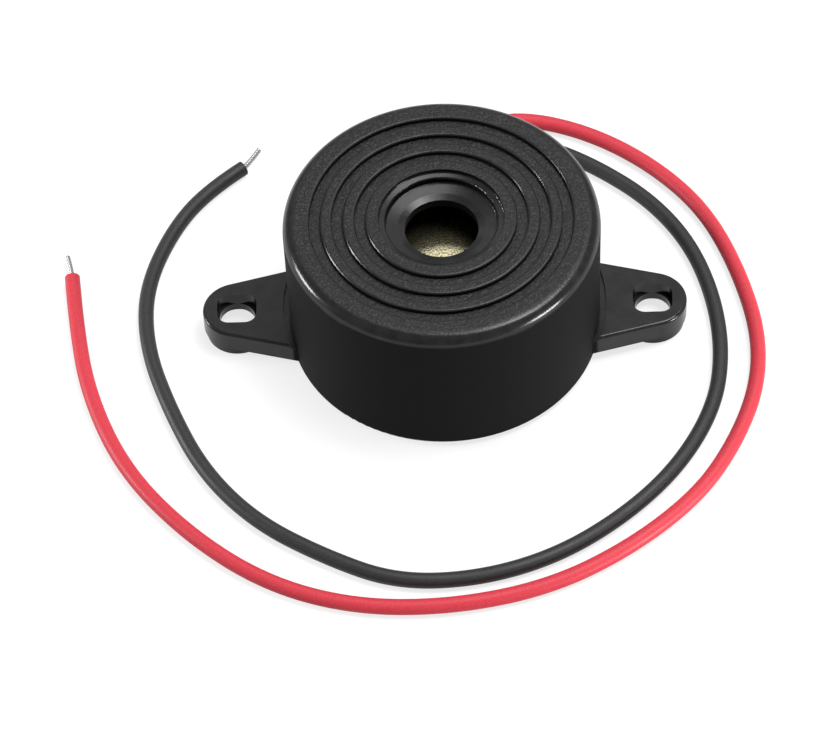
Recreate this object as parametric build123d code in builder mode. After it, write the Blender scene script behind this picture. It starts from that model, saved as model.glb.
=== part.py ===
from build123d import *
import os
from math import asin, atan2, cos, hypot, pi, radians, sin, tan

os.makedirs("parts", exist_ok=True)

# Flange-mounted piezo buzzer with two flying leads, in millimetres.
# X runs through the two mounting ears, Y points to the side where the leads leave, Z is up.
# The origin is on the mounting surface, under the middle of the round housing.

# Driving dimensions of the housing moulding
housing_radius = 15.0
base_taper = 0.1
housing_height = 15.43
pad_drop = 0.48
rim_round = 1.25
base_round = 0.3
side_wall = 1.25
top_wall = 1.6

# Decorative ring grooves in the top face, outermost first
groove_radii = [12.46, 10.34, 8.19]
groove_width = 1.04
groove_depth = 0.45
groove_edge = 0.09

# Stepped bowl round the sound port
recess_step = 0.67
recess_depth = 0.45
bowl_radius = 5.3
bowl_edge_depth = 1.15
crease_radius = 4.15
crease_depth = 1.4
port_radius = 3.5
port_depth = 1.62
port_lip = 0.85
boss_wall = 1.0
bowl_edge_round = 0.12

# Mounting ears and their screw slots
hole_pitch = 40.0
ear_lift = 0.53
ear_thickness = 2.15
ear_end_radius = 3.28
ear_root_half = 4.95
ear_edge_round = 0.3
pad_radius = 3.05
pad_width = 0.55
slot_length = 3.8
slot_width = 3.4
slot_corner = 1.15
slot_upper_depth = 1.35
bolt_hole_radius = 1.7
root_groove_width = 0.55
root_groove_depth = 0.35

# Diaphragm, its glue ring and the layers on it
plate_clearance = 0.25
plate_thickness = 0.3
front_gap = 2.65
glue_thickness = 0.2
glue_width = 1.2
ceramic_margin = 2.3
ceramic_thickness = 0.2
electrode_margin = 0.7
electrode_thickness = 0.05
tongue_width = 3.2
tongue_start = 4.4
tongue_gap = 0.4

# Back cover with its board posts
cover_thickness = 1.2
cover_recess = 0.2
cover_shelf = 0.35
cover_clearance = 0.1
post_radius = 1.3
post_height = 2.25
post_inset = 2.7
pin_radius = 0.6
pin_head_radius = 1.05
pin_head_height = 0.45
post_angles = [30, 150, 270]

# Circuit board and its copper
board_clearance = 0.55
board_setback = 0.7
board_thickness = 1.0
copper_thickness = 0.05
hole_clearance = 0.1
pad_ring = 0.3
track_width = 0.5
solder_height = 0.55
solder_tip = 0.3

# Components on the board
transistor_radius = 2.0
transistor_gap = 1.41
transistor_stand_off = 0.5
transistor_flat = 0.9
transistor_pitch = 1.27
transistor_setback = 4.8
pin_wire_radius = 0.22
resistor_length = 3.4
resistor_radius = 0.8
resistor_cap_radius = 0.95
resistor_cap_length = 0.8
resistor_pitch = 6.4
resistor_wire_radius = 0.25
resistor_wire_bend = 0.6
resistor_lift = 0.1
jumper_radius = 0.3
jumper_bend = 0.9
jumper_rise = 1.4
dot_radius = 0.8
dot_tip = 0.45
dot_height = 0.45

# Flying leads
lead_radius = 0.75
core_radius = 0.24
lead_spacing = 2.4
lead_clearance = 0.1
floor_gap = 0.01
lead_inside = 1.55
red_straight = 1.1
black_straight = 0.9
tip_length = 2.7
tail_bend = 0.8
tail_above_board = 0.3
supply_pad_inset = 1.3

# Levels, worked out upwards from the mounting surface
base_z = pad_drop
top_z = base_z + housing_height
ear_bottom = base_z + ear_lift
ear_top = ear_bottom + ear_thickness
roof_z = top_z - top_wall
boss_z = top_z - port_depth - port_lip
plate_top = boss_z - front_gap
plate_bottom = plate_top - plate_thickness
ledge_z = plate_top + glue_thickness
ceramic_bottom = plate_bottom - ceramic_thickness
electrode_bottom = ceramic_bottom - electrode_thickness
cover_bottom = base_z + cover_recess
cover_top = cover_bottom + cover_thickness
board_bottom = cover_top + post_height
board_top = board_bottom + board_thickness
copper_bottom = board_bottom - copper_thickness

# Radii and side positions that follow from the driving ones
bore_radius = housing_radius - side_wall
plate_radius = bore_radius - plate_clearance
cavity_radius = plate_radius - glue_width
ceramic_radius = cavity_radius - ceramic_margin
electrode_radius = ceramic_radius - electrode_margin
board_radius = bore_radius - board_clearance
post_circle = board_radius - post_inset
recess_radius = bowl_radius + recess_step
boss_radius = bowl_radius + boss_wall
seat_radius = bore_radius + cover_shelf
cover_radius = seat_radius - cover_clearance
hole_x = hole_pitch / 2
lead_x = lead_spacing / 2
lead_z = cover_top + lead_radius + lead_clearance / 2
lead_hole = lead_radius + lead_clearance
lead_inner_y = bore_radius - lead_inside
board_flat = lead_inner_y - board_setback
supply_y = board_flat - supply_pad_inset
floor_z = lead_radius + floor_gap


def revolve_cut(points, corner_round=0):
    """Turn a closed profile of (radius, height) points about Z and cut it away."""
    with BuildSketch(Plane.XZ) as profile:
        with BuildLine():
            Polyline(*points, close=True)
        make_face()
        if corner_round:
            inner_corners = profile.vertices().filter_by(lambda corner: corner.X > 0 and corner.Y < points[0][1])
            fillet(inner_corners.filter_by(lambda corner: corner.X > port_radius), radius=corner_round)
    revolve(profile.sketch, axis=Axis.Z, mode=Mode.SUBTRACT)


def disc(radius, bottom, height, mode=Mode.ADD):
    """A flat disc on the Z axis."""
    with BuildSketch(Plane.XY.offset(bottom)) as outline:
        Circle(radius)
    extrude(outline.sketch, amount=height, mode=mode)


def ring(outer, inner, bottom, height):
    """A flat ring on the Z axis."""
    with BuildSketch(Plane.XY.offset(bottom)) as outline:
        Circle(outer)
        Circle(inner, mode=Mode.SUBTRACT)
    extrude(outline.sketch, amount=height)


def solder_cone(spot, level, base_radius, tip_radius, height):
    """A cone of solder that hangs from a level."""
    with Locations((*spot, level)):
        Cone(tip_radius, base_radius, height, align=(Align.CENTER, Align.CENTER, Align.MAX))


def wire(points, radius, bend):
    """A round wire along straight runs joined by tangent arcs."""
    with BuildLine():
        route = FilletPolyline(*points, radius=bend)
    with BuildSketch(Plane(origin=route @ 0, z_dir=route % 0)) as section:
        Circle(radius)
    sweep(section.sketch, path=route)


def finish(part, label):
    """Name a finished piece and write it."""
    part.label = label
    export_step(part, f"parts/{label}.step")
    print(f"{label:24s} {len(part.solids())} solid(s) {part.volume:10.3f} mm3")


# Housing: a cup with two ears, moulded in one piece and open at the back.

# The ear's sides run from its root on the wall to a tangent on its rounded end.
root_x = (housing_radius**2 - ear_root_half**2) ** 0.5
reach = hypot(hole_x - root_x, ear_root_half)
side_angle = atan2(-ear_root_half, hole_x - root_x) + asin(ear_end_radius / reach)
tangent_x = hole_x + ear_end_radius * sin(-side_angle)
tangent_y = ear_end_radius * cos(side_angle)
root_inset = 2 * side_wall / 3
root_grow = root_inset * tan(-side_angle)

with BuildPart() as housing:
    with BuildSketch(Plane.XY.offset(ear_bottom)):
        with BuildLine() as ear_side:
            Line((root_x - root_inset, 0), (root_x - root_inset, ear_root_half + root_grow))
            Line((root_x - root_inset, ear_root_half + root_grow), (tangent_x, tangent_y))
            RadiusArc((tangent_x, tangent_y), (hole_x + ear_end_radius, 0), ear_end_radius)
            mirror(about=Plane.XZ)
        make_face()
        mirror(about=Plane.YZ)
    extrude(amount=ear_thickness)
    ear_top_edges = housing.edges().group_by(Axis.Z)[-1]
    outer_edges = ear_top_edges.filter_by(lambda edge: abs(edge.center().X) > root_x)
    fillet(outer_edges, radius=ear_edge_round)
    # A shallow relief in the ears' top face follows the wall.
    disc(housing_radius + root_groove_width, ear_top - root_groove_depth, root_groove_depth, Mode.SUBTRACT)

    with BuildSketch(Plane.XZ) as cup_profile:
        with BuildLine():
            Polyline(
                (0, base_z),
                (housing_radius - base_taper, base_z),
                (housing_radius, top_z),
                (0, top_z),
                close=True,
            )
        make_face()
        fillet(cup_profile.vertices().group_by(Axis.Y)[0].sort_by(Axis.X)[-1], radius=base_round)
        fillet(cup_profile.vertices().group_by(Axis.Y)[-1].sort_by(Axis.X)[-1], radius=rim_round)
    revolve(axis=Axis.Z)

    # Ring feet under the ear ends take the screw load on the mounting surface.
    with BuildSketch(Plane.XY):
        with Locations((-hole_x, 0), (hole_x, 0)):
            Circle(pad_radius)
            Circle(pad_radius - pad_width, mode=Mode.SUBTRACT)
    extrude(amount=ear_bottom)

    # Screw slots: a rounded slot from above meets a round hole, which opens inside the ring foot.
    with BuildSketch(Plane.XY.offset(ear_top - slot_upper_depth)):
        with Locations((-hole_x, 0), (hole_x, 0)):
            RectangleRounded(slot_length, slot_width, slot_corner)
    extrude(amount=slot_upper_depth, mode=Mode.SUBTRACT)
    with BuildSketch(Plane.XY.offset(ear_bottom)):
        with Locations((-hole_x, 0), (hole_x, 0)):
            Circle(bolt_hole_radius)
    extrude(amount=ear_thickness - slot_upper_depth, mode=Mode.SUBTRACT)

    # Inside: cover seat, main bore, diaphragm ledge, front cavity and port boss.
    revolve_cut(
        [
            (0, base_z),
            (seat_radius, base_z),
            (seat_radius, cover_top),
            (bore_radius, cover_top),
            (bore_radius, ledge_z),
            (cavity_radius, ledge_z),
            (cavity_radius, roof_z),
            (boss_radius, roof_z),
            (boss_radius, boss_z),
            (port_radius, boss_z),
            (port_radius, top_z),
            (0, top_z),
        ]
    )

    # Outside: the stepped bowl round the sound port.
    revolve_cut(
        [
            (0, top_z),
            (recess_radius, top_z),
            (recess_radius, top_z - recess_depth),
            (bowl_radius, top_z - recess_depth),
            (bowl_radius, top_z - bowl_edge_depth),
            (crease_radius, top_z - crease_depth),
            (port_radius, top_z - port_depth),
            (0, top_z - port_depth),
        ],
        bowl_edge_round,
    )

    # Ring grooves with a small bevel along both edges.
    for groove_radius in groove_radii:
        inner_radius = groove_radius - groove_width
        revolve_cut(
            [
                (groove_radius + groove_edge, top_z),
                (groove_radius, top_z - groove_edge),
                (groove_radius, top_z - groove_depth),
                (inner_radius, top_z - groove_depth),
                (inner_radius, top_z - groove_edge),
                (inner_radius - groove_edge, top_z),
            ]
        )

    # Notch through the back wall, with a half-round seat over each lead.
    with BuildSketch(Plane.XZ.offset(-housing_radius - side_wall)):
        with Locations((0, (base_z + lead_z) / 2)):
            Rectangle(2 * (lead_x + lead_hole), lead_z - base_z)
        with Locations((-lead_x, lead_z), (lead_x, lead_z)):
            Circle(lead_hole)
    extrude(amount=3 * side_wall, mode=Mode.SUBTRACT)
finish(housing.part, "housing")

# Back cover: a disc with a tongue under the leads and three staked board posts.
with BuildPart() as back_cover:
    with BuildSketch(Plane.XY.offset(cover_bottom)):
        with Locations((0, housing_radius / 2)):
            Rectangle(2 * (lead_x + lead_hole - cover_clearance), housing_radius)
        Circle(housing_radius - base_taper - cover_clearance, mode=Mode.INTERSECT)
        Circle(cover_radius)
    extrude(amount=cover_thickness)
    with BuildSketch(Plane.XY.offset(cover_top)):
        for angle in post_angles:
            with PolarLocations(post_circle, 1, angle):
                Circle(post_radius)
    extrude(amount=post_height)
    with BuildSketch(Plane.XY.offset(board_bottom)):
        for angle in post_angles:
            with PolarLocations(post_circle, 1, angle):
                Circle(pin_radius)
    extrude(amount=board_thickness)
    with BuildSketch(Plane.XY.offset(board_top)):
        for angle in post_angles:
            with PolarLocations(post_circle, 1, angle):
                Circle(pin_head_radius)
    extrude(amount=pin_head_height)
    fillet(back_cover.edges().group_by(Axis.Z)[-1], radius=pin_head_height / 2)
finish(back_cover.part, "back_cover")

# Diaphragm stack: glue ring, brass plate, ceramic disc and two silver electrodes.
with BuildPart() as diaphragm_glue:
    ring(plate_radius, cavity_radius, plate_top, glue_thickness)
finish(diaphragm_glue.part, "diaphragm_glue")

with BuildPart() as diaphragm_plate:
    disc(plate_radius, plate_bottom, plate_thickness)
finish(diaphragm_plate.part, "diaphragm_plate")

with BuildPart() as piezo_ceramic:
    disc(ceramic_radius, ceramic_bottom, ceramic_thickness)
finish(piezo_ceramic.part, "piezo_ceramic")

# The feedback electrode is a tongue that the main electrode leaves free all round.
tongue_length = electrode_radius - tongue_start
tongue_middle = tongue_start + tongue_length / 2
gap_width = tongue_width + 2 * tongue_gap

with BuildPart() as main_electrode:
    with BuildSketch(Plane.XY.offset(electrode_bottom)):
        Circle(electrode_radius)
        with Locations((electrode_radius, 0)):
            SlotOverall(2 * (tongue_length + tongue_gap), gap_width, mode=Mode.SUBTRACT)
    extrude(amount=electrode_thickness)
finish(main_electrode.part, "main_electrode")

with BuildPart() as feedback_electrode:
    with BuildSketch(Plane.XY.offset(electrode_bottom)):
        with Locations((electrode_radius, 0)):
            SlotOverall(2 * tongue_length, tongue_width)
        Circle(electrode_radius, mode=Mode.INTERSECT)
    extrude(amount=electrode_thickness)
finish(feedback_electrode.part, "feedback_electrode")

# Board layout: where each wire goes through the board, seen from above.
transistor_x, transistor_y = 0.0, supply_y - transistor_setback
collector = (transistor_x - transistor_pitch, transistor_y)
base_pin = (transistor_x, transistor_y)
emitter = (transistor_x + transistor_pitch, transistor_y)
resistor_half = resistor_pitch / 2
resistor_middles = {
    "load_resistor": (-5.0, transistor_y),
    "bias_resistor": (0.0, -0.6),
    "feedback_resistor": (4.6, -0.6),
}
resistor_ends = {
    name: ((x, y + resistor_half), (x, y - resistor_half)) for name, (x, y) in resistor_middles.items()
}
supply_pads = [(-lead_x, supply_y), (lead_x, supply_y)]
# The plate's jumper meets the brass between the ceramic and the glue ring.
plate_dot = (ceramic_radius + cavity_radius) / 2
plate_side = radians(50)
jumper_lean = 1.4
jumper_feet = {
    "plate_jumper": ((plate_dot - jumper_lean) * cos(plate_side), (plate_dot - jumper_lean) * sin(plate_side)),
    "main_jumper": (-3.6, -3.8),
    "feedback_jumper": (tongue_middle + 0.95, -1.9),
}
jumper_tops = {
    "plate_jumper": (plate_dot * cos(plate_side), plate_dot * sin(plate_side), plate_bottom),
    "main_jumper": (-4.6, -2.6, electrode_bottom),
    "feedback_jumper": (tongue_middle, 0.0, electrode_bottom),
}

# Hole centre and wire radius for everything that goes through the board
board_holes = [(spot, pin_wire_radius) for spot in (collector, base_pin, emitter)]
board_holes += [(spot, resistor_wire_radius) for ends in resistor_ends.values() for spot in ends]
board_holes += [(spot, jumper_radius) for spot in jumper_feet.values()]
supply_holes = [(spot, core_radius) for spot in supply_pads]

# Copper tracks, each from one hole to another
tracks = [
    (supply_pads[0], resistor_ends["load_resistor"][0]),
    (resistor_ends["load_resistor"][1], collector),
    (resistor_ends["load_resistor"][1], jumper_feet["main_jumper"]),
    (jumper_feet["main_jumper"], resistor_ends["bias_resistor"][1]),
    (resistor_ends["bias_resistor"][0], base_pin),
    (resistor_ends["bias_resistor"][0], resistor_ends["feedback_resistor"][0]),
    (resistor_ends["feedback_resistor"][1], jumper_feet["feedback_jumper"]),
    (emitter, supply_pads[1]),
    (supply_pads[1], jumper_feet["plate_jumper"]),
]

with BuildPart() as circuit_board:
    with BuildSketch(Plane.XY.offset(board_bottom)):
        Circle(board_radius)
        with Locations((0, board_flat + board_radius / 2)):
            Rectangle(2 * board_radius, board_radius, mode=Mode.SUBTRACT)
        for angle in post_angles:
            with PolarLocations(post_circle, 1, angle):
                Circle(pin_radius + hole_clearance, mode=Mode.SUBTRACT)
        for spot, wire_radius in board_holes + supply_holes:
            with Locations(spot):
                Circle(wire_radius + hole_clearance, mode=Mode.SUBTRACT)
    extrude(amount=board_thickness)
finish(circuit_board.part, "circuit_board")

with BuildPart() as board_copper:
    with BuildSketch(Plane.XY.offset(copper_bottom)):
        for spot, wire_radius in board_holes + supply_holes:
            with Locations(spot):
                Circle(wire_radius + pad_ring)
        for start, end in tracks:
            with BuildLine():
                Line(start, end)
            trace(line_width=track_width)
        for spot, wire_radius in board_holes + supply_holes:
            with Locations(spot):
                Circle(wire_radius + hole_clearance, mode=Mode.SUBTRACT)
    extrude(amount=copper_thickness)
finish(board_copper.part, "board_copper")

# Solder on the board's underside: a cone over each wire end, a collar round each supply wire.
with BuildPart() as board_solder:
    for spot, wire_radius in board_holes:
        solder_cone(spot, copper_bottom, wire_radius + pad_ring, solder_tip, solder_height)
    for spot, wire_radius in supply_holes:
        solder_cone(spot, copper_bottom, wire_radius + pad_ring, solder_tip + wire_radius / 2, solder_height)
        with BuildSketch(Plane.XY.offset(copper_bottom)):
            with Locations(spot):
                Circle(wire_radius)
        extrude(amount=-solder_height, mode=Mode.SUBTRACT)
finish(board_solder.part, "board_solder")

# Transistor: a flat-faced plastic case on three wires.
transistor_bottom = board_top + transistor_stand_off
transistor_height = electrode_bottom - transistor_gap - transistor_bottom

with BuildPart() as transistor_case:
    with BuildSketch(Plane.XY.offset(transistor_bottom)):
        with Locations((transistor_x, transistor_y)):
            Circle(transistor_radius)
        with Locations((transistor_x, transistor_y - transistor_flat - transistor_radius)):
            Rectangle(2 * transistor_radius, 2 * transistor_radius, mode=Mode.SUBTRACT)
    extrude(amount=transistor_height)
finish(transistor_case.part, "transistor_case")

with BuildPart() as transistor_wires:
    with BuildSketch(Plane.XY.offset(copper_bottom)):
        with Locations(collector, base_pin, emitter):
            Circle(pin_wire_radius)
    extrude(amount=transistor_bottom - copper_bottom)
finish(transistor_wires.part, "transistor_wires")

# Resistors: a waisted body and two wires that turn down through the board.
resistor_z = board_top + resistor_cap_radius + resistor_lift
cap_start = resistor_length / 2 - resistor_cap_length

for name, (middle_x, middle_y) in resistor_middles.items():
    with BuildPart() as resistor_body:
        with BuildSketch(Plane((middle_x, middle_y, resistor_z), x_dir=(0, 1, 0), z_dir=(1, 0, 0))):
            with BuildLine():
                Polyline(
                    (-resistor_length / 2, 0),
                    (-resistor_length / 2, resistor_cap_radius),
                    (-cap_start, resistor_cap_radius),
                    (-cap_start, resistor_radius),
                    (cap_start, resistor_radius),
                    (cap_start, resistor_cap_radius),
                    (resistor_length / 2, resistor_cap_radius),
                    (resistor_length / 2, 0),
                    close=True,
                )
            make_face()
        revolve(axis=Axis((middle_x, middle_y, resistor_z), (0, 1, 0)))
        round_edges = resistor_body.edges().filter_by(GeomType.CIRCLE)
        end_edges = round_edges.group_by(Axis.Y)[0] + round_edges.group_by(Axis.Y)[-1]
        fillet(end_edges, radius=resistor_cap_length / 3)
    finish(resistor_body.part, name)

    with BuildPart() as resistor_wires:
        for side, (end_x, end_y) in zip((1, -1), resistor_ends[name]):
            face_y = middle_y + side * resistor_length / 2
            wire(
                [(middle_x, face_y, resistor_z), (end_x, end_y, resistor_z), (end_x, end_y, copper_bottom)],
                resistor_wire_radius,
                resistor_wire_bend,
            )
    finish(resistor_wires.part, f"{name}_wires")

# Jumper wires rise from the board to solder dots under the diaphragm.
with BuildPart() as element_solder:
    for top_x, top_y, top_level in jumper_tops.values():
        solder_cone((top_x, top_y), top_level, dot_radius, dot_tip, dot_height)
finish(element_solder.part, "element_solder")

for name, (foot_x, foot_y) in jumper_feet.items():
    top_x, top_y, top_level = jumper_tops[name]
    dot_bottom = top_level - dot_height
    with BuildPart() as jumper:
        wire(
            [
                (foot_x, foot_y, copper_bottom),
                (foot_x, foot_y, board_top + jumper_rise),
                (top_x, top_y, dot_bottom - jumper_rise),
                (top_x, top_y, dot_bottom),
            ],
            jumper_radius,
            jumper_bend,
        )
    finish(jumper.part, name)

# Flying leads: they leave through the notch, drop to the floor and loop round the housing.
red_route = [
    (-lead_x, lead_inner_y, lead_z),
    (-lead_x, housing_radius + red_straight, lead_z),
    (-0.4, 20.39, 1.8),
    (2.2, 23.78, floor_z),
    (6.4, 25.58, floor_z),
    (11.4, 24.78, floor_z),
    (17.0, 21.98, floor_z),
    (22.2, 17.48, floor_z),
    (26.0, 12.18, floor_z),
    (28.6, 4.98, floor_z),
    (30.1, -2.62, floor_z),
    (29.6, -9.42, floor_z),
    (27.0, -16.22, floor_z),
    (23.2, -22.22, floor_z),
    (16.6, -28.02, floor_z),
    (9.0, -32.22, floor_z),
    (0.0, -34.12, floor_z),
    (-9.0, -33.82, floor_z),
    (-17.2, -30.82, floor_z),
    (-24.6, -24.82, floor_z),
    (-30.6, -17.22, floor_z),
    (-34.2, -8.22, floor_z),
    (-35.7, 0.38, floor_z),
    (-36.3, 6.38, floor_z),
]
black_route = [
    (lead_x, lead_inner_y, lead_z),
    (lead_x, housing_radius + black_straight, lead_z),
    (2.6, 19.59, 1.8),
    (6.0, 21.98, floor_z),
    (10.4, 21.78, floor_z),
    (15.4, 18.78, floor_z),
    (20.4, 14.38, floor_z),
    (24.0, 8.78, floor_z),
    (26.0, 1.98, floor_z),
    (26.5, -5.02, floor_z),
    (25.4, -11.62, floor_z),
    (21.8, -18.42, floor_z),
    (16.6, -24.02, floor_z),
    (10.0, -28.62, floor_z),
    (2.6, -31.02, floor_z),
    (-5.0, -31.12, floor_z),
    (-11.6, -28.02, floor_z),
    (-18.0, -23.82, floor_z),
    (-23.0, -17.82, floor_z),
    (-26.4, -10.22, floor_z),
    (-28.8, -2.62, floor_z),
    (-29.1, 4.78, floor_z),
    (-26.6, 12.18, floor_z),
    (-23.2, 17.18, floor_z),
    (-19.8, 19.98, floor_z),
]
# Each bend is as large as its two runs allow.
run_share = 0.45


def bend_radii(route):
    """One radius for each corner of a lead's route."""
    points = [Vector(*point) for point in route]
    radii = []
    for before, corner, after in zip(points, points[1:], points[2:]):
        turn = radians((corner - before).get_angle(after - corner))
        shorter_run = min((corner - before).length, (after - corner).length)
        radii.append(run_share * shorter_run / tan(turn / 2))
    return radii


for name, route in {"red_lead": red_route, "black_lead": black_route}.items():
    radii = bend_radii(route)
    with BuildPart() as lead:
        with BuildLine():
            lead_line = FilletPolyline(*route, radius=radii)
        with BuildSketch(Plane(origin=lead_line @ 0, z_dir=lead_line % 0)):
            Circle(lead_radius)
        sweep(path=lead_line)
    finish(lead.part, name)
    section = pi * lead_radius**2
    print(f"  bend radii {[round(radius, 1) for radius in radii]}")
    print(f"  length {lead_line.length:.1f}, volume over section x length "
          f"{lead.part.volume / (section * lead_line.length):.4f}")

    # The bare wire end that stands out of the insulation
    with BuildPart() as lead_tip:
        with BuildSketch(Plane(origin=lead_line @ 1, z_dir=lead_line % 1)):
            Circle(core_radius)
        extrude(amount=tip_length)
    finish(lead_tip.part, f"{name}_tip")

# Inner lead ends: bare wire from the insulation up through the board.
with BuildPart() as lead_tails:
    for pad_x, pad_y in supply_pads:
        wire(
            [
                (pad_x, lead_inner_y, lead_z),
                (pad_x, pad_y, lead_z),
                (pad_x, pad_y, board_top + tail_above_board),
            ],
            core_radius,
            tail_bend,
        )
finish(lead_tails.part, "lead_tails")
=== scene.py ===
# %% [markdown]
# # A piezo buzzer with flying leads
#
# The part is a small black sounder: a round case with ring grooves, a brass plate behind
# its sound port, two screw ears, and a red and a black lead that lie loose on the table.
# The measured solids come from the frame, in metres. This script dresses them: it gives
# each one its finish, draws the leads as smooth cords and sets up a plain studio.

# %% Load the measured frame
import bmesh
import bpy
from math import pi, radians
from mathutils import Matrix, Vector


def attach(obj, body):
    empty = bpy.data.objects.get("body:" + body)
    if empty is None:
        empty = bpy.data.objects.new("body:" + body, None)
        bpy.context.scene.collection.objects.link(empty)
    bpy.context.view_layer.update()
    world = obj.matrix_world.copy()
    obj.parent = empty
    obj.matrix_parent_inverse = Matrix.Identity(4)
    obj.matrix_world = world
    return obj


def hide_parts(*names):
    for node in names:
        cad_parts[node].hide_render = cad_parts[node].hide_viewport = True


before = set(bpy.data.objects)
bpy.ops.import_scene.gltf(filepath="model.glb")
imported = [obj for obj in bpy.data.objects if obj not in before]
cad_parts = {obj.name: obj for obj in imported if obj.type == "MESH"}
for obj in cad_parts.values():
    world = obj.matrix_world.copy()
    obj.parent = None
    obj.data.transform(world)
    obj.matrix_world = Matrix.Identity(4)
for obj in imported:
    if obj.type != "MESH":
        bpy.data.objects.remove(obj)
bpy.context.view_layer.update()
mm = 0.001

# %% [markdown]
# ## Camera
#
# The picture looks down on the buzzer at about fifty degrees with a long lens, so circles
# look like clean ellipses. A camera could be placed by trial. Here its place, its aim on
# the table and its small tilt were worked out from the rim, the grooves and the base edge.

# %% Camera
image_width = 819
focal_pixels = 4500.0
sensor_width = 36.0
nearest_seen = 10 * mm
camera_place = Vector((4.644, -274.136, 337.846)) * mm
camera_aim = Vector((-3.505, -4.912, 0.0)) * mm
camera_tilt = radians(-2.82)

camera_data = bpy.data.cameras.new("camera")
camera_data.sensor_width = sensor_width
camera_data.lens = focal_pixels * sensor_width / image_width
camera_data.clip_start = nearest_seen
camera = bpy.data.objects.new("camera", camera_data)
bpy.context.scene.collection.objects.link(camera)
turn = (camera_aim - camera_place).to_track_quat("-Z", "Y").to_matrix().to_4x4()
tilt = Matrix.Rotation(camera_tilt, 4, "Z")
camera.matrix_world = Matrix.Translation(camera_place) @ turn @ tilt
bpy.context.scene.camera = camera
bpy.context.scene.view_settings.view_transform = "Standard"
print("lens", round(camera_data.lens, 1), "mm")

# %% [markdown]
# ## Small helpers for nodes
#
# The table, the finishes and the bare wire ends are all built from nodes. Each wire could
# have a line of its own. Three helpers keep that short and easy to read: one fills the
# inputs of a node with numbers or wires, one makes a node, and one makes a Math node.

# %% Node helpers
def feed(node, feeds):
    """Fill a node's inputs, each with a plain value or with another node's output."""
    for socket, value in feeds.items():
        if isinstance(value, bpy.types.NodeSocket):
            node.id_data.links.new(value, node.inputs[socket])
        else:
            node.inputs[socket].default_value = value


def node_of(tree, kind, feeds=None, **settings):
    """One new node with its settings and its inputs."""
    node = tree.nodes.new(kind)
    for name, value in settings.items():
        setattr(node, name, value)
    feed(node, feeds or {})
    return node


def maths(tree, operation, *values):
    """The output of one Math node."""
    node = node_of(tree, "ShaderNodeMath", dict(enumerate(values)), operation=operation)
    return node.outputs[0]


def empty_tree(owner):
    """The node tree of a material or world, without the nodes that it starts with."""
    owner.use_nodes = True
    owner.node_tree.nodes.clear()
    return owner.node_tree


print("node helpers ready")

# %% [markdown]
# ## White table
#
# The buzzer stands on white paper. A white floor under strong light would shine up at the
# black case and wash it out. So the paper itself is a light grey that keeps the soft
# contact shadow, and a glow that only the camera and reflections see lifts it to white.

# %% White table
table_colour = (0.3, 0.3, 0.3, 1.0)
table_glow = 0.74
table_half = 3.0
table_drop = 0.02 * mm

table_finish = bpy.data.materials.new("white_table")
tree = empty_tree(table_finish)
path = node_of(tree, "ShaderNodeLightPath").outputs
camera_or_gloss = maths(tree, "MAXIMUM", path["Is Camera Ray"], path["Is Glossy Ray"])
seen = maths(tree, "MAXIMUM", camera_or_gloss, path["Is Transmission Ray"])
paper = node_of(tree, "ShaderNodeBsdfDiffuse", {"Color": table_colour})
glow_level = maths(tree, "MULTIPLY", seen, table_glow)
glow = node_of(tree, "ShaderNodeEmission", {"Strength": glow_level})
lit_paper = node_of(tree, "ShaderNodeAddShader", {0: paper.outputs[0], 1: glow.outputs[0]})
node_of(tree, "ShaderNodeOutputMaterial", {"Surface": lit_paper.outputs[0]})

table_corners = [(-1, -1), (1, -1), (1, 1), (-1, 1)]
table_places = [(x * table_half, y * table_half, -table_drop) for x, y in table_corners]
table_mesh = bpy.data.meshes.new("table")
table_mesh.from_pydata(table_places, [], [(0, 1, 2, 3)])
table_mesh.materials.append(table_finish)
table = bpy.data.objects.new("table", table_mesh)
bpy.context.scene.collection.objects.link(table)
print("table:", 2 * table_half, "m wide")

# %% [markdown]
# ## Room and lamps
#
# Gloss on black plastic is mostly what it mirrors, so the lamps are what draws the rim.
# Two soft lamps and a card stand high up for even light. Two small lamps stand low on
# either side, just where the rounded rim shows its bright streaks. The room is a mid grey
# for the object and white for the camera.

# %% Room and lamps
room_grey = (0.38, 0.38, 0.38, 1.0)
backdrop_white = (1.0, 1.0, 1.0, 1.0)

world = bpy.data.worlds.new("studio")
bpy.context.scene.world = world
tree = empty_tree(world)
room = node_of(tree, "ShaderNodeBackground", {"Color": room_grey})
backdrop = node_of(tree, "ShaderNodeBackground", {"Color": backdrop_white})
by_camera = node_of(tree, "ShaderNodeLightPath").outputs["Is Camera Ray"]
surroundings = node_of(tree, "ShaderNodeMixShader", {
    0: by_camera,
    1: room.outputs[0],
    2: backdrop.outputs[0],
})
node_of(tree, "ShaderNodeOutputWorld", {"Surface": surroundings.outputs[0]})

# name: (place in metres, width, height, watts)
lamps = {
    "lamp_above": ((0.15, 0.12, 0.62), 0.40, 0.36, 2.2),
    "lamp_high": ((0.25, 0.03, 0.60), 0.22, 0.24, 1.8),
    "card_back": ((0.0, 0.46, 0.44), 0.70, 0.28, 0.46),
    "lamp_left": ((-0.486, 0.051, 0.104), 0.16, 0.08, 1.9),
    "lamp_right": ((0.446, -0.227, 0.032), 0.17, 0.055, 2.7),
}
for name, (place, width, height, watts) in lamps.items():
    lamp_data = bpy.data.lights.new(name, "AREA")
    lamp_data.shape = "RECTANGLE"
    lamp_data.size, lamp_data.size_y, lamp_data.energy = width, height, watts
    lamp = bpy.data.objects.new(name, lamp_data)
    lamp.location = place
    lamp.rotation_euler = (-Vector(place)).to_track_quat("-Z", "Y").to_euler()
    bpy.context.scene.collection.objects.link(lamp)
print("lamps:", ", ".join(lamps))

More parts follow.
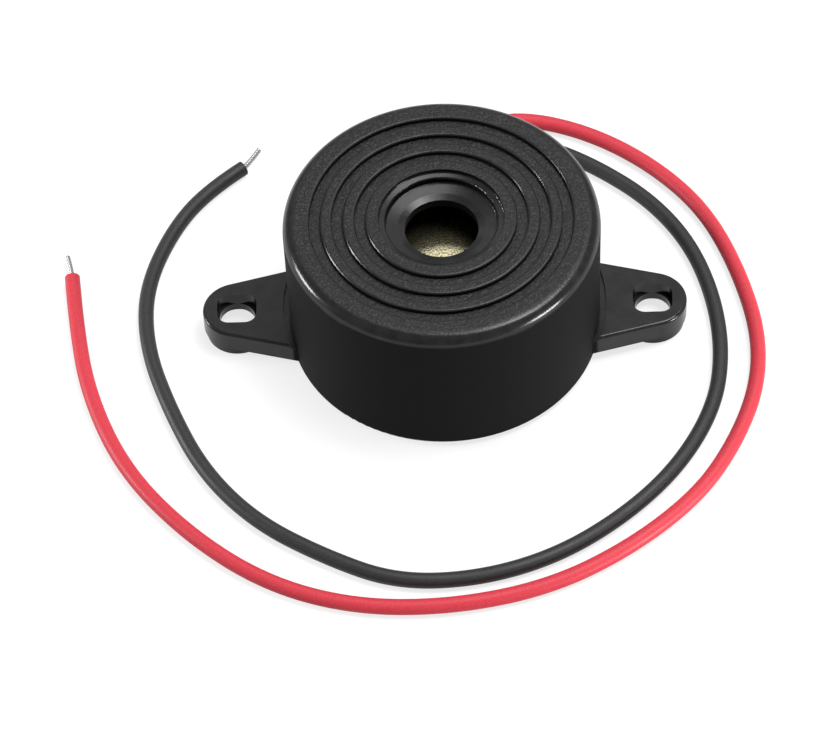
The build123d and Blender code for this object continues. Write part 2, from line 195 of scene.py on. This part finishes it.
# %% [markdown]
# ## Flying leads
#
# The leads are hook-up wire in soft PVC. They leave a notch low in the back of the case,
# drop to the table and loop once round the buzzer, the red one outside. A mesh tube would
# need many rings; a NURBS spline with a round bevel keeps the bend smooth from few points.
# The points are those that the measured solids follow.

# %% Lead routes
lead_radius = 0.75 * mm

# The routes are in millimetres: each lead starts inside the case, at inner_y.
lead_x = 1.2
lead_z = 2.68
drop_z = 1.8
floor_z = 0.76
inner_y = 12.2
red_route = [
    (-lead_x, inner_y, lead_z),
    (-lead_x, 16.1, lead_z),
    (-0.4, 20.39, drop_z),
    (2.2, 23.78, floor_z),
    (6.4, 25.58, floor_z),
    (11.4, 24.78, floor_z),
    (17.0, 21.98, floor_z),
    (22.2, 17.48, floor_z),
    (26.0, 12.18, floor_z),
    (28.6, 4.98, floor_z),
    (30.1, -2.62, floor_z),
    (29.6, -9.42, floor_z),
    (27.0, -16.22, floor_z),
    (23.2, -22.22, floor_z),
    (16.6, -28.02, floor_z),
    (9.0, -32.22, floor_z),
    (0.0, -34.12, floor_z),
    (-9.0, -33.82, floor_z),
    (-17.2, -30.82, floor_z),
    (-24.6, -24.82, floor_z),
    (-30.6, -17.22, floor_z),
    (-34.2, -8.22, floor_z),
    (-35.7, 0.38, floor_z),
    (-36.3, 6.38, floor_z),
]
black_route = [
    (lead_x, inner_y, lead_z),
    (lead_x, 15.9, lead_z),
    (2.6, 19.59, drop_z),
    (6.0, 21.98, floor_z),
    (10.4, 21.78, floor_z),
    (15.4, 18.78, floor_z),
    (20.4, 14.38, floor_z),
    (24.0, 8.78, floor_z),
    (26.0, 1.98, floor_z),
    (26.5, -5.02, floor_z),
    (25.4, -11.62, floor_z),
    (21.8, -18.42, floor_z),
    (16.6, -24.02, floor_z),
    (10.0, -28.62, floor_z),
    (2.6, -31.02, floor_z),
    (-5.0, -31.12, floor_z),
    (-11.6, -28.02, floor_z),
    (-18.0, -23.82, floor_z),
    (-23.0, -17.82, floor_z),
    (-26.4, -10.22, floor_z),
    (-28.8, -2.62, floor_z),
    (-29.1, 4.78, floor_z),
    (-26.6, 12.18, floor_z),
    (-23.2, 17.18, floor_z),
    (-19.8, 19.98, floor_z),
]
print("route points:", len(red_route), "and", len(black_route))

# %% Leads as cords
bevel_steps = 6
steps_per_point = 10


def cord_curve(name, route):
    """A smooth round cord along its route, given in millimetres."""
    curve = bpy.data.curves.new(name, "CURVE")
    curve.dimensions = "3D"
    curve.bevel_depth = lead_radius
    curve.bevel_resolution = bevel_steps
    curve.resolution_u = steps_per_point
    curve.use_fill_caps = True
    spline = curve.splines.new("NURBS")
    spline.points.add(len(route) - 1)
    for point, place in zip(spline.points, route):
        point.co = (*(Vector(place) * mm), 1.0)
    spline.order_u = 3
    spline.use_endpoint_u = True
    cord = bpy.data.objects.new(name, curve)
    bpy.context.scene.collection.objects.link(cord)
    return cord


red_cord = cord_curve("red_cord", red_route)
black_cord = cord_curve("black_cord", black_route)
print("cords:", red_cord.name, black_cord.name)

# %% Lead lengths
def plain_mesh(source):
    """The finished shape of a curve or of a node tree, as a mesh of its own."""
    finished = source.evaluated_get(bpy.context.evaluated_depsgraph_get())
    return bpy.data.meshes.new_from_object(finished)


def centre_line(route):
    """Points along the spline itself, for length and for what sits on the cord."""
    bare = cord_curve("centre_line", route)
    bare.data.bevel_depth = 0.0
    bare.data.use_fill_caps = False
    mesh = plain_mesh(bare)
    points = [vertex.co.copy() for vertex in mesh.vertices]
    bpy.data.meshes.remove(mesh)
    bpy.data.objects.remove(bare)
    return points


def line_length(points):
    """The length of a run of points."""
    return sum((after - before).length for before, after in zip(points, points[1:]))


red_line = centre_line(red_route)
black_line = centre_line(black_route)
red_length = line_length(red_line)
black_length = line_length(black_line)
print("red lead", round(red_length / mm, 1), "mm, black lead", round(black_length / mm, 1), "mm")

# %% [markdown]
# ## Bare wire ends
#
# Where the insulation is stripped, seven thin tinned strands show, twisted together. A
# helix that repeats round an axis is just what Geometry Nodes are for: one strand is a
# spiral, turned copies stand round it, and one straight strand runs in the middle.

# %% Strand tree: named sizes
strand_tree = bpy.data.node_groups.new("twisted_strands", "GeometryNodeTree")
strand_inputs = {
    "Strands": ("NodeSocketInt", 6),
    "Strand Radius": ("NodeSocketFloat", 0.095 * mm),
    "Length": ("NodeSocketFloat", 2.7 * mm),
    "Turns": ("NodeSocketFloat", 1.3),
}
new_socket = strand_tree.interface.new_socket
new_socket("Geometry", in_out="OUTPUT", socket_type="NodeSocketGeometry")
for name, (kind, value) in strand_inputs.items():
    new_socket(name, in_out="INPUT", socket_type=kind).default_value = value
new_socket("Finish", in_out="INPUT", socket_type="NodeSocketMaterial")
sizes = node_of(strand_tree, "NodeGroupInput")
print("strand inputs:", ", ".join(strand_inputs))

# %% Strand tree: turned copies of one helix
spiral_steps = 22
helix_in_radii = 1.9

helix_radius = maths(strand_tree, "MULTIPLY", sizes.outputs["Strand Radius"], helix_in_radii)
helix = node_of(strand_tree, "GeometryNodeCurveSpiral", {
    "Resolution": spiral_steps,
    "Rotations": sizes.outputs["Turns"],
    "Start Radius": helix_radius,
    "End Radius": helix_radius,
    "Height": sizes.outputs["Length"],
})
starts = node_of(strand_tree, "GeometryNodeMeshLine", {
    "Count": sizes.outputs["Strands"],
    "Offset": (0.0, 0.0, 0.0),
})
number = node_of(strand_tree, "GeometryNodeInputIndex").outputs[0]
share = maths(strand_tree, "DIVIDE", number, sizes.outputs["Strands"])
angle = maths(strand_tree, "MULTIPLY", share, 2 * pi)
turned = node_of(strand_tree, "ShaderNodeCombineXYZ", {"Z": angle})
copies = node_of(strand_tree, "GeometryNodeInstanceOnPoints", {
    "Points": starts.outputs["Mesh"],
    "Instance": helix.outputs["Curve"],
    "Rotation": turned.outputs[0],
})
outer = node_of(strand_tree, "GeometryNodeRealizeInstances", {0: copies.outputs["Instances"]})
print("outer strands:", strand_inputs["Strands"][1])

# %% Strand tree: tubes and finish
profile_sides = 10

straight = node_of(strand_tree, "ShaderNodeCombineXYZ", {"Z": sizes.outputs["Length"]})
middle = node_of(strand_tree, "GeometryNodeCurvePrimitiveLine", {"End": straight.outputs[0]})
all_lines = node_of(strand_tree, "GeometryNodeJoinGeometry")
for lines in (middle.outputs["Curve"], outer.outputs[0]):
    feed(all_lines, {0: lines})
profile = node_of(strand_tree, "GeometryNodeCurvePrimitiveCircle", {
    "Resolution": profile_sides,
    "Radius": sizes.outputs["Strand Radius"],
})
tubes = node_of(strand_tree, "GeometryNodeCurveToMesh", {
    "Curve": all_lines.outputs[0],
    "Profile Curve": profile.outputs["Curve"],
    "Fill Caps": True,
})
real = node_of(strand_tree, "GeometryNodeRealizeInstances", {0: tubes.outputs["Mesh"]})
finished = node_of(strand_tree, "GeometryNodeSetMaterial", {
    "Geometry": real.outputs[0],
    "Material": sizes.outputs["Finish"],
})
node_of(strand_tree, "NodeGroupOutput", {"Geometry": finished.outputs["Geometry"]})
print("strand tree nodes:", len(strand_tree.nodes))

# %% [markdown]
# ## Shared surface effects
#
# Two effects turn up in several finishes, so each is a node group: a fine grain, like the
# spark-eroded skin of a mould, and faint cloudy patches that keep gloss from being even.
# Groups put out only masks and values; the shader itself stays in each material.

# %% Helpers for effects
def effect_group(name, sockets, outputs):
    """An empty shader node group with named inputs and outputs."""
    group = bpy.data.node_groups.new(name, "ShaderNodeTree")
    new_socket = group.interface.new_socket
    for socket, value in sockets.items():
        new_socket(socket, in_out="INPUT", socket_type="NodeSocketFloat").default_value = value
    for socket in outputs:
        new_socket(socket, in_out="OUTPUT", socket_type="NodeSocketFloat")
    return group, node_of(group, "NodeGroupInput"), node_of(group, "NodeGroupOutput")


def noise_at(tree, scale, share, detail, roughness):
    """Noise on Object coordinates at a share of the group's own scale."""
    coordinates = node_of(tree, "ShaderNodeTexCoord")
    noise = node_of(tree, "ShaderNodeTexNoise", {
        "Vector": coordinates.outputs["Object"],
        "Scale": maths(tree, "MULTIPLY", scale, share),
        "Detail": detail,
        "Roughness": roughness,
    })
    return noise.outputs["Fac"]


def ranged(tree, value, old_range, new_range=(0.0, 1.0), **settings):
    """A value moved from one range to another and held inside it."""
    node = node_of(tree, "ShaderNodeMapRange", {
        "Value": value,
        "From Min": old_range[0],
        "From Max": old_range[1],
        "To Min": new_range[0],
        "To Max": new_range[1],
    }, **settings)
    return node.outputs["Result"]


print("effect helpers ready")

# %% Grain and clouding
fine_noise = {"share": 1.0, "detail": 3.0, "roughness": 0.6}
coarse_noise = {"share": 0.3, "detail": 2.0, "roughness": 0.5}
patch_noise = {"share": 1.0, "detail": 4.0, "roughness": 0.55}
coarse_strength = 0.5
middle_height = 0.75
patch_contrast = (0.3, 0.7)

grain_inputs = {"Scale": 4000.0, "Depth": 1.0}
grain_group, grain_in, grain_out = effect_group("mould_grain", grain_inputs, ["Height", "Mask"])
fine = noise_at(grain_group, grain_in.outputs["Scale"], **fine_noise)
coarse = noise_at(grain_group, grain_in.outputs["Scale"], **coarse_noise)
height = maths(grain_group, "MULTIPLY_ADD", coarse, coarse_strength, fine)
centred = maths(grain_group, "SUBTRACT", height, middle_height)
deep = maths(grain_group, "MULTIPLY", centred, grain_in.outputs["Depth"])
feed(grain_out, {"Height": deep, "Mask": fine})

cloud_inputs = {"Scale": 200.0, "Low": 0.4, "High": 0.6}
cloud_group, cloud_in, cloud_out = effect_group("cloudy_patches", cloud_inputs, ["Value"])
patches = noise_at(cloud_group, cloud_in.outputs["Scale"], **patch_noise)
patch_range = (cloud_in.outputs["Low"], cloud_in.outputs["High"])
feed(cloud_out, {"Value": ranged(cloud_group, patches, patch_contrast, patch_range)})
print("effects:", grain_group.name, cloud_group.name)

# %% [markdown]
# ## Finishes
#
# Every finish starts from one shader with its plain values on its own sockets. Colour
# shifts a little between two close tones, gloss follows the cloudy patches, and the grain
# feeds a bump. A recipe function keeps the wiring in one place for all the plain finishes.

# %% A recipe for plain finishes
patch_scale = 250.0


def grouped(tree, group, **feeds):
    """A node group in a material, with this finish's own values."""
    return node_of(tree, "ShaderNodeGroup", feeds, node_tree=group)


def mixed(tree, kind, factor, a, b):
    """Two colours or two numbers blended by a factor."""
    node = node_of(tree, "ShaderNodeMix", {"Factor": factor, "A": a, "B": b}, data_type=kind)
    return node.outputs["Result"]


def bumped(tree, height, distance):
    """The normal of a surface with a height on it."""
    node = node_of(tree, "ShaderNodeBump", {"Distance": distance, "Height": height})
    return node.outputs["Normal"]


def new_finish(name):
    """A new material with its node tree and its shader."""
    finish = bpy.data.materials.new(name)
    finish.use_nodes = True
    return finish, finish.node_tree, finish.node_tree.nodes["Principled BSDF"]


def plain_finish(name, dark, light, gloss, grain, depth, metal, specular):
    """Two tones, a roughness range, and a grain with its size and depth in millimetres."""
    finish, tree, shader = new_finish(name)
    mould = grouped(tree, grain_group, Scale=1.0 / (grain * mm), Depth=1.0)
    clouds = grouped(tree, cloud_group, Scale=patch_scale, Low=gloss[0], High=gloss[1])
    feed(shader, {
        "Base Color": mixed(tree, "RGBA", mould.outputs["Mask"], (*dark, 1.0), (*light, 1.0)),
        "Metallic": metal,
        "Specular IOR Level": specular,
        "Roughness": clouds.outputs["Value"],
        "Normal": bumped(tree, mould.outputs["Height"], depth * mm),
    })
    return finish


print("recipe helpers ready")

# %% Plain finishes
# name: (dark tone, light tone, roughness range, grain size, grain depth, metallic, specular)
recipes = {
    "cover_black": (
        (0.014, 0.014, 0.015), (0.024, 0.024, 0.026), (0.45, 0.55), 0.2, 0.012, 0.0, 0.4
    ),
    "silicone_white": (
        (0.60, 0.60, 0.58), (0.72, 0.72, 0.70), (0.35, 0.5), 0.3, 0.01, 0.0, 0.5
    ),
    "fired_ceramic": (
        (0.66, 0.62, 0.50), (0.76, 0.72, 0.60), (0.55, 0.7), 0.08, 0.004, 0.0, 0.4
    ),
    "fired_silver": (
        (0.70, 0.69, 0.66), (0.84, 0.83, 0.80), (0.35, 0.5), 0.06, 0.004, 1.0, 0.5
    ),
    "board_paper": (
        (0.36, 0.22, 0.09), (0.46, 0.30, 0.13), (0.5, 0.65), 0.25, 0.01, 0.0, 0.4
    ),
    "bare_copper": (
        (0.72, 0.36, 0.20), (0.84, 0.46, 0.28), (0.3, 0.45), 0.1, 0.004, 1.0, 0.5
    ),
    "bright_solder": (
        (0.62, 0.63, 0.64), (0.74, 0.75, 0.76), (0.22, 0.36), 0.12, 0.008, 1.0, 0.5
    ),
    "moulded_epoxy": (
        (0.012, 0.012, 0.012), (0.022, 0.022, 0.022), (0.5, 0.6), 0.1, 0.006, 0.0, 0.4
    ),
    "beige_lacquer": (
        (0.56, 0.45, 0.28), (0.64, 0.53, 0.35), (0.25, 0.35), 0.2, 0.004, 0.0, 0.5
    ),
    "tinned_copper": (
        (0.36, 0.36, 0.36), (0.50, 0.50, 0.51), (0.30, 0.45), 0.06, 0.006, 1.0, 0.5
    ),
    "pale_sleeve": (
        (0.66, 0.64, 0.58), (0.74, 0.72, 0.67), (0.35, 0.45), 0.2, 0.004, 0.0, 0.5
    ),
    "red_pvc": (
        (0.34, 0.012, 0.022), (0.74, 0.064, 0.090), (0.42, 0.55), 0.12, 0.010, 0.0, 0.25
    ),
    "black_pvc": (
        (0.004, 0.004, 0.005), (0.046, 0.046, 0.047), (0.42, 0.56), 0.12, 0.010, 0.0, 0.3
    ),
}
finishes = {name: plain_finish(name, *recipe) for name, recipe in recipes.items()}
print("plain finishes:", len(finishes))

# %% [markdown]
# ## The case's skins
#
# The mould of the case is spark-eroded on its top face only, so that face and its grooves
# are grainy and a shade greyer. The bowl, the rim and the ears are polished. The wall is
# rougher, and its reflection is dimmed by a near-black metallic colour, which is painted
# shade. Masks painted by hand would need a map. Here height, distance from the axis and
# the way a face looks tell the skins apart.

# %% Where the case is grainy and where it is wall
top_z = 15.91 * mm
groove_floor = top_z - 0.55 * mm
bowl_edge = 5.97 * mm
bowl_blend = 0.02 * mm
groove_share = 0.9

# Each mask rises from zero at the first number to one at the second.
groove_fade = (groove_floor, groove_floor + 0.05 * mm)
land_fade = (top_z - 0.25 * mm, top_z - 0.10 * mm)
bowl_fade = (bowl_edge - bowl_blend, bowl_edge + bowl_blend)
rim_fade = (14.4 * mm, 13.6 * mm)
wall_fade = (15.5 * mm, 15.2 * mm)
steep_fade = (0.30, 0.05)
level_fade = (0.80, 0.96)

zone_group, _, zone_out = effect_group("case_zones", {}, ["Eroded", "Side", "Drop"])
coordinates = node_of(zone_group, "ShaderNodeTexCoord").outputs["Object"]
split = node_of(zone_group, "ShaderNodeSeparateXYZ", {0: coordinates}).outputs
flat = node_of(zone_group, "ShaderNodeCombineXYZ", {"X": split["X"], "Y": split["Y"]})
from_axis = node_of(zone_group, "ShaderNodeVectorMath", {0: flat.outputs[0]}, operation="LENGTH")
distance = from_axis.outputs["Value"]
facing = node_of(zone_group, "ShaderNodeNewGeometry").outputs["Normal"]
facing_up = node_of(zone_group, "ShaderNodeSeparateXYZ", {0: facing}).outputs["Z"]
level = maths(zone_group, "ABSOLUTE", facing_up)


def fade(value, ends):
    """A smooth step from zero at the first end to one at the second."""
    return ranged(zone_group, value, ends, interpolation_type="SMOOTHSTEP")


in_groove = maths(zone_group, "MULTIPLY", fade(split["Z"], groove_fade), groove_share)
on_land = fade(split["Z"], land_fade)
grainy = maths(zone_group, "MULTIPLY_ADD", on_land, 1.0 - groove_share, in_groove)
for mask in (fade(distance, bowl_fade), fade(distance, rim_fade), fade(level, level_fade)):
    grainy = maths(zone_group, "MULTIPLY", grainy, mask)
# The wall mask carries painted shade: a darker, dimmed reflection on the steep wall.
on_wall = maths(zone_group, "MULTIPLY", fade(level, steep_fade), fade(distance, wall_fade))
feed(zone_out, {"Side": on_wall})
print("zone masks from", len(zone_group.nodes), "nodes")

# %% [markdown]
# ## Rubbed corners and the sloping ledge
#
# The corners of lands and grooves are rubbed soft and lose their grain, and the ledge round
# the bowl slopes down to it. The wear is a few hundredths of a millimetre deep and the slope
# a fifth of one. Moving vertices would change the measured solid, which stays as it is. So
# the group also puts out a drop in millimetres over each ring, and a bump shades it.

# %% Rings of wear and slope
# The rings are in millimetres from the axis.
groove_outer_radii = [12.46, 10.34, 8.19]
groove_width = 1.04
bevel = 0.09
worn_width = 0.13
worn_drop = 0.03
worn_share = 0.75
ledge_inner = 5.3
ledge_drop = 0.18

# (from radius, to radius, drop)
slopes = [(bowl_edge / mm, ledge_inner, ledge_drop)]
for radius in groove_outer_radii:
    outer_edge, inner_edge = radius + bevel, radius - groove_width - bevel
    slopes.append((outer_edge + worn_width, outer_edge, worn_drop))
    slopes.append((inner_edge - worn_width, inner_edge, worn_drop))
    for ring in (outer_edge + worn_width / 2, inner_edge - worn_width / 2):
        rubbed = maths(zone_group, "COMPARE", distance, ring * mm, worn_width / 2 * mm)
        kept = maths(zone_group, "MULTIPLY_ADD", rubbed, -worn_share, 1.0)
        grainy = maths(zone_group, "MULTIPLY", grainy, kept)

drops = []
for start, end, drop in slopes:
    drops.append(ranged(zone_group, distance, (start * mm, end * mm), (0.0, drop)))
total_drop = drops[0]
for drop in drops[1:]:
    total_drop = maths(zone_group, "ADD", drop, total_drop)
feed(zone_out, {"Eroded": grainy, "Drop": total_drop})
print("slopes:", len(slopes))

# %% [markdown]
# ## The case finish
#
# One black plastic takes all three skins. The grainy mask mixes speckle over polish in
# colour, roughness and grain depth. The wall's mask also feeds a near-black colour and the
# metallic value: a dark rough metal mirrors less of a white table than plastic does, and a
# real wall stays black. This dimmed reflection on the wall is painted shade.

# %% Case finish
polished_black = (0.006, 0.006, 0.007, 1.0)
polished_worn = (0.015, 0.015, 0.016, 1.0)
eroded_dark = (0.005, 0.005, 0.006, 1.0)
eroded_light = (0.036, 0.036, 0.038, 1.0)
# The wall's near-black colour tints its dimmed reflection: painted shade.
wall_shade_black = (0.007, 0.007, 0.0075, 1.0)
wear_scale = 700.0
gloss_scale = 260.0
polished_gloss = (0.18, 0.26)
eroded_roughness = 0.46
wall_roughness = 0.8
# The wall's metallic dimming takes the table's reflection off it: painted shade.
wall_shade_dimming = 0.8
speckle_contrast = (0.48, 0.68)
eroded_grain = 0.21 * mm
eroded_depth = 0.10
polished_depth = 0.006
polished_shine = 0.3

case_black, tree, shader = new_finish("case_black")
zone = grouped(tree, zone_group).outputs
whole_range = (0.0, 1.0)
grain_depth = ranged(tree, zone["Eroded"], whole_range, (polished_depth, eroded_depth))
mould = grouped(tree, grain_group, Scale=1.0 / eroded_grain, Depth=grain_depth).outputs
speckled = ranged(tree, mould["Mask"], speckle_contrast)
speckle = mixed(tree, "RGBA", speckled, eroded_dark, eroded_light)
handled = grouped(tree, cloud_group, Scale=wear_scale, Low=0.0, High=1.0).outputs["Value"]
polish = mixed(tree, "RGBA", handled, polished_black, polished_worn)
skin = mixed(tree, "RGBA", zone["Eroded"], polish, speckle)
low, high = polished_gloss
gloss = grouped(tree, cloud_group, Scale=gloss_scale, Low=low, High=high).outputs["Value"]
rough = mixed(tree, "FLOAT", zone["Eroded"], gloss, eroded_roughness)
relief = maths(tree, "SUBTRACT", mould["Height"], zone["Drop"])
feed(shader, {
    "Base Color": mixed(tree, "RGBA", zone["Side"], skin, wall_shade_black),
    "Roughness": mixed(tree, "FLOAT", zone["Side"], rough, wall_roughness),
    "Metallic": maths(tree, "MULTIPLY", zone["Side"], wall_shade_dimming),
    "Specular IOR Level": polished_shine,
    "Normal": bumped(tree, relief, mm),
})
print("case finish nodes:", len(tree.nodes))

# %% [markdown]
# ## Rolled brass
#
# Through the port the sounder plate shows only where it mirrors the room, so its own skin
# matters: fine rolling lines all one way, and dark tarnish specks. Ordinary noise is round.
# Squeezing its coordinates along the rolling direction draws it out into lines.

# %% Brass finish
rolling_angle = radians(35)
rolling_line = 0.09 * mm
rolling_stretch = 0.12
rolling_detail = 3.0
rolling_depth = 0.006 * mm
rolling_gloss = (0.12, 0.24)
speck_size = 0.20 * mm
speck_contrast = (0.50, 0.60)
brass_gold = (0.84, 0.78, 0.50, 1.0)
brass_tarnish = (0.20, 0.17, 0.09, 1.0)

plate_brass, tree, shader = new_finish("plate_brass")
squeeze = node_of(tree, "ShaderNodeMapping", {
    "Vector": node_of(tree, "ShaderNodeTexCoord").outputs["Object"],
    "Rotation": (0.0, 0.0, rolling_angle),
    "Scale": (rolling_stretch, 1.0, 1.0),
})
lines = node_of(tree, "ShaderNodeTexNoise", {
    "Vector": squeeze.outputs["Vector"],
    "Scale": 1.0 / rolling_line,
    "Detail": rolling_detail,
}).outputs["Fac"]
specks = grouped(tree, grain_group, Scale=1.0 / speck_size, Depth=1.0).outputs["Mask"]
dark_specks = ranged(tree, specks, speck_contrast)
feed(shader, {
    "Base Color": mixed(tree, "RGBA", dark_specks, brass_gold, brass_tarnish),
    "Metallic": 1.0,
    "Roughness": ranged(tree, lines, whole_range, rolling_gloss),
    "Normal": bumped(tree, lines, rolling_depth),
})
print("brass finish nodes:", len(tree.nodes))

# %% [markdown]
# ## Dressing the solids
#
# The measured solids already have the right shape, so they are not touched. Each one could
# be remodelled here, but that would lose its measured sizes. So each only gets the finish
# of its real material in its material slots.

# %% Finish for each measured piece
finish_of = {
    "housing": case_black,
    "back_cover": finishes["cover_black"],
    "diaphragm_glue": finishes["silicone_white"],
    "diaphragm_plate": plate_brass,
    "piezo_ceramic": finishes["fired_ceramic"],
    "main_electrode": finishes["fired_silver"],
    "feedback_electrode": finishes["fired_silver"],
    "circuit_board": finishes["board_paper"],
    "board_copper": finishes["bare_copper"],
    "board_solder": finishes["bright_solder"],
    "element_solder": finishes["bright_solder"],
    "transistor_case": finishes["moulded_epoxy"],
    "transistor_wires": finishes["tinned_copper"],
    "lead_tails": finishes["tinned_copper"],
}
for use in ("load", "bias", "feedback"):
    finish_of[f"{use}_resistor"] = finishes["beige_lacquer"]
    finish_of[f"{use}_resistor_wires"] = finishes["tinned_copper"]
for use in ("plate", "main", "feedback"):
    finish_of[f"{use}_jumper"] = finishes["pale_sleeve"]

for name, finish in finish_of.items():
    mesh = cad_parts[name].data
    if not mesh.materials:
        mesh.materials.append(finish)
    for slot in range(len(mesh.materials)):
        mesh.materials[slot] = finish
print("dressed:", len(finish_of))

# %% [markdown]
# ## Bare ends in place
#
# The strand tree is run once for each lead, made a plain mesh and laid along the last bit
# of the lead's own line. Stripped wire is never quite straight, so both ends are bent a
# little sideways, the black one more.

# %% Lay the strands on the lead ends
bend_power = 1.3
red_bend = -0.3 * mm
black_bend = -0.8 * mm
strand_values = {name: value for name, (kind, value) in strand_inputs.items()}
strand_values["Finish"] = finishes["tinned_copper"]


def bare_end(name, line, bend):
    """Twisted strands from the end of a lead's line, bent sideways by a length at the tip."""
    holder = bpy.data.objects.new(name, bpy.data.meshes.new(name))
    bpy.context.scene.collection.objects.link(holder)
    strands = holder.modifiers.new("strands", "NODES")
    strands.node_group = strand_tree
    for item in strand_tree.interface.items_tree:
        if item.in_out == "INPUT":
            strands[item.identifier] = strand_values[item.name]
    mesh = plain_mesh(holder)
    holder.modifiers.clear()
    holder.data = mesh
    heading = (line[-1] - line[-2]).normalized()
    across = heading.cross(Vector((0, 0, 1))).normalized()
    upward = across.cross(heading)
    for vertex in mesh.vertices:
        along = vertex.co.z
        reach = max(along, 0.0) / strand_values["Length"]
        side = vertex.co.x + bend * reach ** bend_power
        vertex.co = line[-1] + heading * along + across * side + upward * vertex.co.y
    for polygon in mesh.polygons:
        polygon.use_smooth = True
    cleaner = bmesh.new()
    cleaner.from_mesh(mesh)
    bmesh.ops.recalc_face_normals(cleaner, faces=cleaner.faces)
    cleaner.to_mesh(mesh)
    cleaner.free()
    print(name, len(mesh.vertices), "vertices")
    return holder


red_end = bare_end("red_bare_end", red_line, red_bend)
black_end = bare_end("black_bare_end", black_line, black_bend)
red_cord.data.materials.append(finishes["red_pvc"])
black_cord.data.materials.append(finishes["black_pvc"])

# %% [markdown]
# ## What belongs to what
#
# Nothing moves on a buzzer, so every new piece rides on the one body. Each cord stands for
# its plain tube and each bunch of strands for its plain pin.

# %% Ride and replace
for cord, end, line, length, node, slot in (
    (red_cord, red_end, red_line, red_length, "red_lead", "red_insulation"),
    (black_cord, black_end, black_line, black_length, "black_lead", "black_insulation"),
):
    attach(cord, "root")
    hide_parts(node)
    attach(end, "root")
    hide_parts(f"{node}_tip")
    print(cord.name, "stands for", node)
